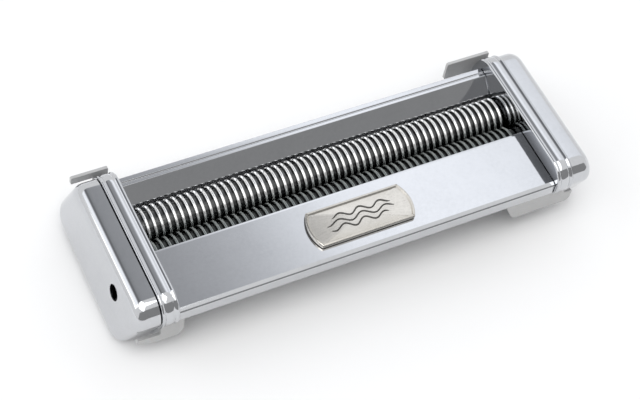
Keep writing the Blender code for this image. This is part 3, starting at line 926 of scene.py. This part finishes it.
@dataclass
class Panels:
    """The two bent sheets between the side frames, as (y, z) corners of their outer faces."""

    layout: Layout
    thickness: float = 0.8
    front_edge: tuple[float, float] = (-7.1, 24.8)
    front_fold: tuple[float, float] = (-34.1, 24.53)
    front_turn: float = 1.6
    front_round: tuple[float, float] = (0.9, 0.1)      # run and drop of the edge's rounding
    fold_round: tuple[tuple[float, float], ...] = ((1.7, 0.05), (0.4, -0.5), (0.0, -1.0))   # off the fold
    lip_foot: float = 18.93
    front_bend: float = 0.3
    rear_fall: tuple[float, float] = (17.25, 20.05)
    rear_rim: tuple[float, float] = (22.6, 26.6)
    rear_height: float = 25.4
    rear_groove: tuple[float, float, float] = (1.2, 1.7, 2.2)
    rear_groove_depth: float = 0.45
    rear_lip: tuple[tuple[float, float], ...] = ((0.2, 0.0), (-0.15, -0.3))   # off the rim's inner edge
    rear_bend: float = 0.22
    skirt_foot: tuple[float, float] = (32.0, 10.4)

    def front_corners(self) -> list[tuple[float, float]]:
        """Work out the front panel's corners.

        Returns:
            The corners from the turned edge at the rollers, over the fold, to the lip's foot.
        """
        (y, z), (fold_y, fold_z) = self.front_edge, self.front_fold
        run, drop = self.front_round
        fold = [(fold_y + ahead, fold_z + up) for ahead, up in self.fold_round]
        return [(y, z - self.front_turn), (y, z - drop), (y - run, z), *fold, (fold_y, self.lip_foot)]

    def rear_corners(self) -> list[tuple[float, float]]:
        """Work out the rear panel's corners.

        Returns:
            The corners from the skirt's foot, over the grooved rim, to the foot of the fall.
        """
        (inner, outer), top = self.rear_rim, self.rear_height
        near, middle, far = self.rear_groove
        lip = [(inner + ahead, top + up) for ahead, up in self.rear_lip]
        return [self.skirt_foot, (outer, top), (inner + far, top),
                (inner + middle, top - self.rear_groove_depth), (inner + near, top), *lip, self.rear_fall]

    def build(self, finishes: Finishes) -> None:
        """Make both panels and dress them.

        Args:
            finishes: the finishes.
        """
        half = self.layout.web_inner - SEAT_GAP
        for label, corners, bend in (("front", self.front_corners(), self.front_bend),
                                     ("rear", self.rear_corners(), self.rear_bend)):
            section = sheet_section(corners, self.thickness, bend)
            panel = prism(f"{label}_chrome_panel", section, -half, half)
            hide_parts(f"{label}_panel")
            finishes.dress(panel, Look.CHROME, Body.FRAME)


@dataclass
class NamePlate:
    """A small domed plate with a raised border and a generic motif of three wavy strands."""

    length: float = 43.0
    width: float = 15.6
    bow: float = 2.2
    corner: float = 0.35
    corner_steps: int = 4
    end_steps: int = 11
    border: tuple[tuple[float, float], ...] = ((0.0, 0.45), (0.12, 0.16), (0.4, 0.0), (0.8, 0.0),
                                               (1.05, 0.3), (1.3, 0.62))   # inset, below the crest
    field_drop: float = 0.62
    dome: float = 0.62
    dome_span: tuple[float, float] = (0.93, 0.04)
    dome_steps: int = 12
    strands: int = 3
    strand_reach: float = 0.33
    strand_taper: float = 2.0
    strand_slant: float = 1.2
    strand_spacing: float = 2.5
    strand_radius: float = 0.32
    strand_points: int = 90
    wave_height: float = 1.15
    wave_rate: float = 9.0
    wave_shift: float = 0.9
    wave_fade: float = 0.35

    def outline(self) -> tuple[Array, Array]:
        """Work out a rectangle whose short ends bow outwards as parabolas, with rounded corners.

        Returns:
            The points and the outward normals.
        """
        half, side = self.length / 2.0 - self.bow, self.width / 2.0
        sweep = np.linspace(-1.0, 1.0, self.end_steps)
        right = [(half + self.bow * (1.0 - t * t), side * t) for t in sweep]
        left = [(-x, -y) for x, y in right]
        return rounded_path(right + left, self.corner, self.corner_steps)

    def plate(self, low: Array, high: Array) -> Any:
        """Make the plate: the outline set in along the border's section, then shrunk to the middle.

        The field rises towards the middle as one less the square of the share shrunk to.

        Args:
            low: the lowest corner of the plate's box, in millimetres.
            high: its highest corner.

        Returns:
            The plate.
        """
        path, normals = self.outline()
        crest = high[2] - low[2]
        rings = [(0.0, 0.0)] + [(inset, crest - drop) for inset, drop in self.border]
        rows = [np.column_stack([path - inset * normals, np.full(len(path), rise)]) for inset, rise in rings]
        field_loop = rows[-1][:, :2]
        for share in np.linspace(*self.dome_span, self.dome_steps):
            rise = crest - self.field_drop + self.dome * (1.0 - share * share)
            rows.append(np.column_stack([field_loop * share, np.full(len(path), rise)]))
        middle = (low + high) / 2.0
        points = np.stack(rows).reshape(-1, 3) + np.array([middle[0], middle[1], low[2]])
        return make_piece("domed_name_plate", points, capped_faces(len(rows), len(path)))

    def strand(self, index: int, low: Array, high: Array) -> Any:
        """Make one strand: a sine wave along the plate that fades towards its ends and lies on the dome.

        Args:
            index: which strand, from 0.
            low: the lowest corner of the plate's box, in millimetres.
            high: its highest corner.

        Returns:
            The strand.
        """
        middle = (low + high) / 2.0
        along = np.linspace(-1.0, 1.0, self.strand_points)
        shift = index - (self.strands - 1) / 2.0
        x = along * (self.length * self.strand_reach - self.strand_taper * abs(shift))
        x += shift * self.strand_slant
        wave = self.wave_height * np.sin(along * self.wave_rate + index * self.wave_shift)
        y = self.strand_spacing * shift + wave * (1.0 - self.wave_fade * along ** 2)
        share = np.maximum(np.abs(x) / (self.length / 2.0), np.abs(y) / (self.width / 2.0))
        z = high[2] - self.field_drop + self.dome * (1.0 - share ** 2)
        path = np.column_stack([x + middle[0], y + middle[1], z])
        return tube(f"plate_strand_{index + 1}", path, self.strand_radius)

    def build(self, finishes: Finishes) -> None:
        """Make the plate and its motif, and dress them.

        Args:
            finishes: the finishes.
        """
        low, high = (np.array(corner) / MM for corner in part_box("name_plate"))
        plate = self.plate(low, high)
        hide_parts("name_plate")
        finishes.dress(plate, Look.SATIN, Body.FRAME)
        for index in range(self.strands):
            finishes.dress(self.strand(index, low, high), Look.ENAMEL, Body.FRAME)


@dataclass
class CuttingRoller:
    """A turned roller with crowned rings, plain ends and journals."""

    name: str
    node: str
    axis: tuple[float, float]
    body: Body
    look: Look
    rings: int
    ring_radius: float = 8.0
    groove_radius: float = 6.65
    journal_radius: float = 3.5
    pitch: float = 2.8
    ring_width: float = 1.36
    body_end: float = 78.6
    chamfer: float = 0.4
    crown_steps: int = 9
    # painted shade darkens the grooves: it starts below the crown's top and deepens over part of the groove
    bright_band: float = 0.1      # the crown is bright this far below its top
    dark_share: float = 0.5       # of the groove's depth, over which it darkens
    segments: int = 56

    def profile(self) -> Array:
        """Work out the profile: journal, groove, each ring crowned as half a circle, and journal.

        Returns:
            Points of (x, radius).
        """
        low, high = (corner[0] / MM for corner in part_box(self.node))
        swing = np.linspace(0.0, math.pi, self.crown_steps)
        half = self.ring_width / 2.0
        crown = np.stack([-np.cos(swing) * half, self.ring_radius - half + half * np.sin(swing)], axis=1)
        foot, heel = np.array([[-half, self.groove_radius]]), np.array([[half, self.groove_radius]])
        ring = np.concatenate([foot, crown, heel])
        centres = (np.arange(self.rings) - (self.rings - 1) / 2.0) * self.pitch
        rings = ring[None, :, :] + np.stack([centres, np.zeros(self.rings)], axis=1)[:, None, :]
        journal, groove, end, chamfer = self.journal_radius, self.groove_radius, self.body_end, self.chamfer
        start = np.array([[low, journal - chamfer], [low + chamfer, journal], [-end, journal],
                          [-end, groove - chamfer], [-end + chamfer, groove]])
        finish = np.array([[end - chamfer, groove], [end, groove - chamfer], [end, journal],
                           [high - chamfer, journal], [high, journal - chamfer]])
        return np.concatenate([start, rings.reshape(-1, 2), finish])

    def mark_grooves(self, mesh: Any) -> None:
        """Store how deep each point lies, the mask of the painted groove shade: 0 on the crowns, rising
        evenly to 1 in the groove.

        Args:
            mesh: the roller's mesh.
        """
        points = np.empty(len(mesh.vertices) * 3, np.float32)
        mesh.vertices.foreach_get("co", points)
        points = points.reshape(-1, 3) / MM
        radius = np.hypot(points[:, 1] - self.axis[0], points[:, 2] - self.axis[1])
        reach = self.dark_share * (self.ring_radius - self.groove_radius)
        depth = (self.ring_radius - self.bright_band - radius) / reach
        attribute = mesh.attributes.new(GROOVE_ATTRIBUTE, "FLOAT", "POINT")
        attribute.data.foreach_set("value", np.clip(depth, 0.0, 1.0).astype(np.float32))

    def build(self, finishes: Finishes) -> None:
        """Make the roller, which stands for its plainer node, and dress it.

        Args:
            finishes: the finishes.
        """
        roller = turned(self.name, self.profile(), self.axis, self.segments)
        self.mark_grooves(roller.data)
        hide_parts(self.node)
        finishes.dress(roller, self.look, self.body)


# ---------------- the studio, in metres

@dataclass(frozen=True)
class Card:
    """A glowing card out of view, whose brightness runs along X between the ends of its span."""

    name: str
    corners: tuple[tuple[float, float, float], ...]
    stops: tuple[tuple[float, float], ...]      # places from 0 to 1 along the span, and brightness
    tint: tuple[float, float, float] = (1.0, 1.0, 1.0)
    strength: float = 1.0
    span: tuple[float, float] = (-1.0, 1.0)

    def material(self) -> Any:
        """Build the glow: a colour ramp over the object's X, as plain emission.

        Returns:
            The material.
        """
        made = bpy.data.materials.new(self.name)
        made.use_nodes = True
        nodes, links = made.node_tree.nodes, made.node_tree.links
        nodes.clear()
        place = nodes.new("ShaderNodeTexCoord")
        split = nodes.new("ShaderNodeSeparateXYZ")
        run = nodes.new("ShaderNodeMapRange")
        run.inputs["From Min"].default_value, run.inputs["From Max"].default_value = self.span
        ramp = nodes.new("ShaderNodeValToRGB")
        ramp.color_ramp.interpolation = "B_SPLINE"
        while len(ramp.color_ramp.elements) < len(self.stops):
            ramp.color_ramp.elements.new(0.5)
        for element, (where, level) in zip(ramp.color_ramp.elements, self.stops):
            element.position = where
            element.color = (*(level * part for part in self.tint), 1.0)
        glow = nodes.new("ShaderNodeEmission")
        glow.inputs["Strength"].default_value = self.strength
        out = nodes.new("ShaderNodeOutputMaterial")
        links.new(place.outputs["Object"], split.inputs[0])
        links.new(split.outputs["X"], run.inputs["Value"])
        links.new(run.outputs["Result"], ramp.inputs["Fac"])
        links.new(ramp.outputs["Color"], glow.inputs["Color"])
        links.new(glow.outputs[0], out.inputs["Surface"])
        return made


@dataclass(frozen=True)
class Lamp:
    """A square soft light that faces the part."""

    name: str
    place: tuple[float, float, float]
    size: float
    power: float

    def hang(self) -> None:
        """Put the light in its place and turn it to the part."""
        lamp = bpy.data.lights.new(self.name, "AREA")
        lamp.size = self.size
        lamp.energy = self.power
        held = bpy.data.objects.new(self.name, lamp)
        held.location = self.place
        held.rotation_euler = (-Vector(self.place)).to_track_quat("-Z", "Y").to_euler()
        bpy.context.scene.collection.objects.link(held)


CARDS = (
    Card("overhead_card", ((-1.6, 0.15, 1.0), (1.9, 0.15, 1.0), (1.9, 1.3, 1.0), (-1.6, 1.3, 1.0)),
         ((0.0, 1.0), (0.10, 0.9), (0.18, 0.14), (0.28, 0.13), (0.40, 0.27), (0.60, 0.27),
          (0.66, 0.48), (0.71, 0.95), (0.78, 1.0), (0.85, 0.78), (1.0, 0.75)),
         tint=(0.97, 0.99, 1.03), strength=1.5),
    Card("front_card", ((-1.5, -1.0, 0.02), (2.0, -1.0, 0.02), (2.0, -1.0, 1.1), (-1.5, -1.0, 1.1)),
         ((0.0, 0.33), (1.0, 0.33))),
)
LAMPS = (Lamp("key", (-0.5, -0.5, 1.9), 1.6, 15.0), Lamp("fill", (-1.6, 0.5, 1.3), 1.2, 6.0))


@dataclass
class Studio:
    """Pale floor, soft lights, reflection cards and the camera."""

    floor_half: float = 6.0
    floor_tone: float = 0.93
    floor_roughness: float = 0.9
    room_light: float = 0.95
    eye: tuple[float, float, float] = (-0.2346, -0.3082, 0.5391)
    right: tuple[float, float, float] = (0.890, -0.4355, 0.1336)
    up: tuple[float, float, float] = (0.289, 0.7668, 0.573)
    lens: float = 95.625
    sensor: float = 36.0
    far: float = 50.0

    @staticmethod
    def sheet(name: str, corners: Sequence[tuple[float, float, float]], material: Any) -> None:
        """Set one flat face in the scene as part of the studio.

        Args:
            name: its name.
            corners: its corners in metres.
            material: its material.
        """
        mesh = bpy.data.meshes.new(name)
        mesh.from_pydata(corners, [], [tuple(range(len(corners)))])
        mesh.materials.append(material)
        sheet = bpy.data.objects.new(name, mesh)
        bpy.context.scene.collection.objects.link(sheet)
        sheet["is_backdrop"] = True

    def floor(self) -> None:
        """Lay a plain pale floor at the foot of the part."""
        half, level = self.floor_half, float(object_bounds()[0][2])
        made = bpy.data.materials.new("pale_floor")
        made.use_nodes = True
        shader = made.node_tree.nodes["Principled BSDF"]
        shader.inputs["Base Color"].default_value = (*(self.floor_tone,) * 3, 1.0)
        shader.inputs["Roughness"].default_value = self.floor_roughness
        corners = [(-half, -half, level), (half, -half, level), (half, half, level), (-half, half, level)]
        self.sheet("pale_floor", corners, made)

    def room(self) -> None:
        """Fill the room with even white light, and show tones as they are."""
        world = bpy.data.worlds.new("soft_room")
        world.use_nodes = True
        back = world.node_tree.nodes["Background"]
        back.inputs["Color"].default_value = (1.0, 1.0, 1.0, 1.0)
        back.inputs["Strength"].default_value = self.room_light
        bpy.context.scene.world = world
        bpy.context.scene.view_settings.view_transform = "Standard"

    def camera(self) -> None:
        """Place the camera from its eye point and its right and up directions."""
        right = Vector(self.right).normalized()
        up = Vector(self.up)
        up = (up - right * up.dot(right)).normalized()
        back = right.cross(up)
        lens = bpy.data.cameras.new("view")
        lens.lens = self.lens
        lens.sensor_width = self.sensor
        lens.clip_end = self.far
        eye = bpy.data.objects.new("view", lens)
        bpy.context.scene.collection.objects.link(eye)
        turn = Matrix((right, up, back)).transposed().to_4x4()
        eye.matrix_world = Matrix.Translation(Vector(self.eye)) @ turn
        bpy.context.scene.camera = eye

    def build(self) -> None:
        """Set the floor, the cards, the lights, the room and the camera."""
        self.floor()
        for card in CARDS:
            self.sheet(card.name, card.corners, card.material())
        for lamp in LAMPS:
            lamp.hang()
        self.room()
        self.camera()


# The finish of each node that still shows, by the last word of its name. The others are zinc plated.
NODE_LOOKS = {"gear": Look.GEAR, "pinion": Look.GEAR, "bush": Look.NYLON}


def dress_nodes(frame: dict[str, Any], finishes: Finishes) -> None:
    """Give every node of the frame its finish.

    Args:
        finishes: the finishes.
    """
    for name, node in frame["nodes"].items():
        finishes.dress_node(name, node, NODE_LOOKS.get(name.split("_")[-1], Look.ZINC))


def main() -> None:
    """Load the frame, build each sub-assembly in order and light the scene."""
    logging.basicConfig(level=logging.INFO)
    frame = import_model()
    layout = Layout.read(frame)
    finishes = Finishes()
    dress_nodes(frame, finishes)
    for side in Side:
        side_frame = SideFrame(side, layout)
        side_frame.build(finishes)
        EndCap(side, layout, side_frame).build(finishes)
    Panels(layout).build(finishes)
    NamePlate().build(finishes)
    # the front roller takes the turned finish darkened as painted shade
    CuttingRoller("front_cutting_roller", "front_roller", layout.front_axis, Body.FRONT,
                  Look.OILED, rings=55).build(finishes)
    CuttingRoller("rear_cutting_roller", "rear_roller", layout.rear_axis, Body.REAR,
                  Look.TURNED, rings=56).build(finishes)
    Studio().build()


if __name__ == "__main__":
    main()
